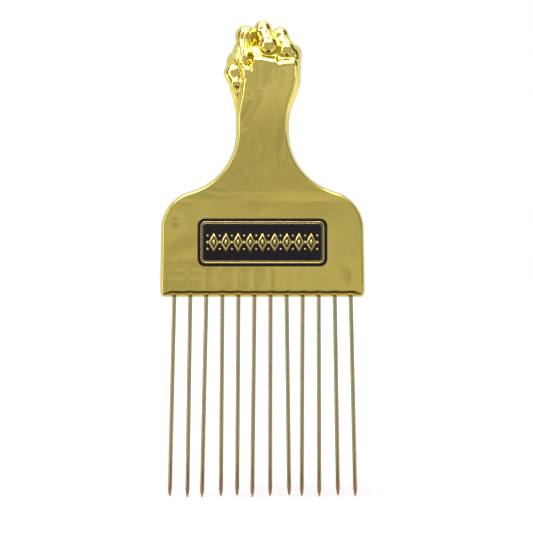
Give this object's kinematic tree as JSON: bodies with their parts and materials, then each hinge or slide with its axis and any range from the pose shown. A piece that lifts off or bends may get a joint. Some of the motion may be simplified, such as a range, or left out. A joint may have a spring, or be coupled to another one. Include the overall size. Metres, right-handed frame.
{
  "type": "afro pick",
  "caption": "Hair pick with a row of long steel tines in a gold plated plastic handle shaped as a raised fist, with a black label on its plate.",
  "frame": {"origin": "under the middle of the row of tines, level with the lowest tine point, on the plane where the two shells part", "axes": "+Z from the tine points up to the fist, +X to the right as seen from the front, +Y to the back, so the back of the hand and the label face -Y"},
  "size_m": [0.071, 0.0175, 0.1649],
  "materials": {
    "gold_plating": "moulded plastic with a bright gold vacuum plating under clear lacquer",
    "tine_steel": "drawn steel wire with a pale brassy tint, a little browner towards the points",
    "label_film": "black satin film"
  },
  "bodies": {
    "root": {"front_shell": "gold_plating", "rear_shell": "gold_plating", "front_label": "label_film", "tine_01": "tine_steel", "tine_02": "tine_steel", "tine_03": "tine_steel", "tine_04": "tine_steel", "tine_05": "tine_steel", "tine_06": "tine_steel", "tine_07": "tine_steel", "tine_08": "tine_steel", "tine_09": "tine_steel", "tine_10": "tine_steel", "tine_11": "tine_steel", "tine_12": "tine_steel"}
  },
  "joints": []
}
